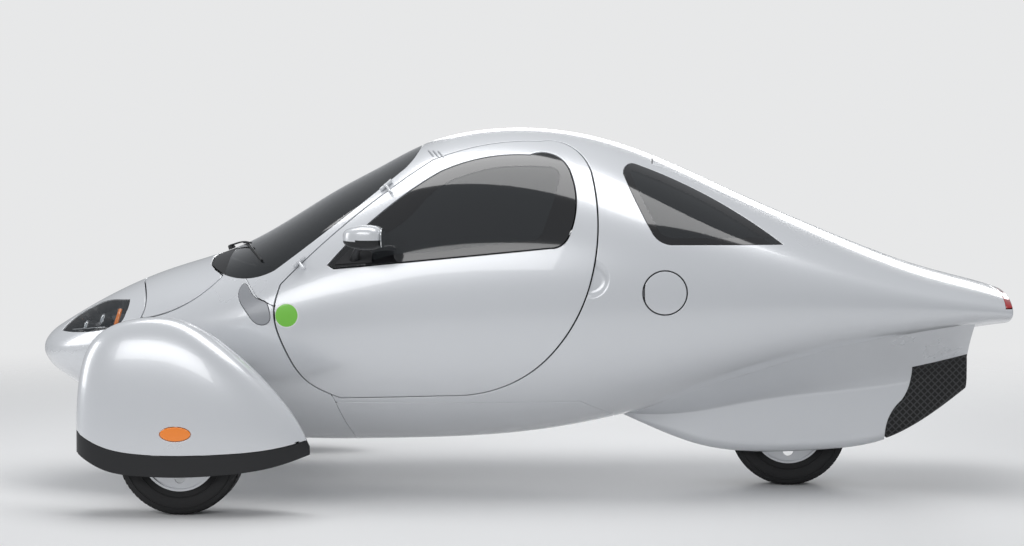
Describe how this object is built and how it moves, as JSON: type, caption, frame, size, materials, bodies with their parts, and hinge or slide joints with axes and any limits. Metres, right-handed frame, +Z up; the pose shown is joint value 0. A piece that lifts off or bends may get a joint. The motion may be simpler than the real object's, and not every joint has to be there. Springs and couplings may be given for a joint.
{
  "type": "three-wheeled car",
  "caption": "Streamlined closed three-wheeled car with two faired front wheels that steer, a rear wheel in a keel, swinging doors, hood and hatch.",
  "frame": {"origin": "on the floor under the middle of the car's box", "axes": "nose to -X, tail to +X, the car's left side to -Y, +Z up"},
  "size_m": [4.3941, 2.306, 1.6427],
  "materials": {
    "body_paint": "gloss pearl white",
    "clear_glass": "tinted",
    "lamp_glass": "clear",
    "lamp_bowl": "bright and black",
    "red_lens": "gloss",
    "amber_lens": "gloss",
    "tyre": "satin",
    "wheel_metal": "brushed",
    "black_plastic": "satin",
    "arm_metal": "satin",
    "battery_case": "matt",
    "cabin_carpet": "carpet",
    "seat_fabric": "woven",
    "cabin_plastic": "grained"
  },
  "bodies": {
    "body": {"battery": "battery_case", "belly_pan": "body_paint", "bulkhead": "cabin_carpet", "charge_socket": "cabin_plastic", "cowl": "black_plastic", "dashboard": "cabin_plastic", "floor_pan": "cabin_carpet", "front_arms_left": "arm_metal", "front_arms_right": "arm_metal", "front_body": "body_paint", "front_subframe": "arm_metal", "headlamp_cover_left": "lamp_glass", "headlamp_cover_right": "lamp_glass", "headlamp_left": "lamp_bowl", "headlamp_right": "lamp_bowl", "main_body": "body_paint", "quarter_window_left": "clear_glass", "quarter_window_right": "clear_glass", "rear_fairing": "body_paint", "rear_mouth": "black_plastic", "seat_left": "seat_fabric", "seat_right": "seat_fabric", "steering_wheel": "cabin_plastic", "swingarm": "arm_metal", "swingarm_hanger": "arm_metal", "tail_lamp": "red_lens", "windscreen": "clear_glass", "wiper": "black_plastic"},
    "door_left": {"door_glass_left": "clear_glass", "door_left": "body_paint", "mirror_left": "body_paint"},
    "knuckle_left": {"knuckle_left": "arm_metal", "pant_skirt_left": "black_plastic", "side_marker_left": "amber_lens", "wheel_pant_left": "body_paint"},
    "wheel_left": {"front_rim_left": "wheel_metal", "front_tyre_left": "tyre"},
    "door_right": {"door_glass_right": "clear_glass", "door_right": "body_paint", "mirror_right": "body_paint"},
    "knuckle_right": {"knuckle_right": "arm_metal", "pant_skirt_right": "black_plastic", "side_marker_right": "amber_lens", "wheel_pant_right": "body_paint"},
    "wheel_right": {"front_rim_right": "wheel_metal", "front_tyre_right": "tyre"},
    "hood": {"hood": "body_paint"},
    "hatch": {"hatch": "body_paint"},
    "charge_flap": {"charge_flap": "body_paint"},
    "wheel_rear": {"rear_rim": "wheel_metal", "rear_tyre": "tyre"}
  },
  "joints": [
    {"name": "door_left", "type": "hinge", "parent": "body", "child": "door_left", "pos_m": [-0.939, -0.60475, 1.053], "axis": [-0.7078, -0.3133, -0.6332], "range_deg": [0, 60]},
    {"name": "door_right", "type": "hinge", "parent": "body", "child": "door_right", "pos_m": [-0.939, 0.60475, 1.053], "axis": [0.7078, -0.3133, 0.6332], "range_deg": [0, 60]},
    {"name": "hood", "type": "hinge", "parent": "body", "child": "hood", "pos_m": [-1.76118, 0, 0.84501], "axis": [0, -1, 0], "range_deg": [0, 60]},
    {"name": "hatch", "type": "hinge", "parent": "body", "child": "hatch", "pos_m": [0.51598, 0, 1.4674], "axis": [0, -1, 0], "range_deg": [0, 60]},
    {"name": "charge_flap", "type": "hinge", "parent": "body", "child": "charge_flap", "pos_m": [0.565, -0.67478, 0.924], "axis": [0, 0, -1], "range_deg": [0, 85]},
    {"name": "steer_left", "type": "hinge", "parent": "body", "child": "knuckle_left", "pos_m": [-1.387, -0.928, 0.266], "axis": [0, 0, 1], "range_deg": [-30, 30]},
    {"name": "steer_right", "type": "hinge", "parent": "body", "child": "knuckle_right", "pos_m": [-1.387, 0.928, 0.266], "axis": [0, 0, 1], "range_deg": [-30, 30]},
    {"name": "spin_left", "type": "hinge", "parent": "knuckle_left", "child": "wheel_left", "pos_m": [-1.387, -0.99, 0.266], "axis": [0, 1, 0], "continuous": true},
    {"name": "spin_right", "type": "hinge", "parent": "knuckle_right", "child": "wheel_right", "pos_m": [-1.387, 0.99, 0.266], "axis": [0, 1, 0], "continuous": true},
    {"name": "spin_rear", "type": "hinge", "parent": "body", "child": "wheel_rear", "pos_m": [1.241, 0, 0.266], "axis": [0, 1, 0], "continuous": true}
  ],
  "couplings": [
    {"joint": "steer_right", "follows": "steer_left", "ratio": 1}
  ]
}
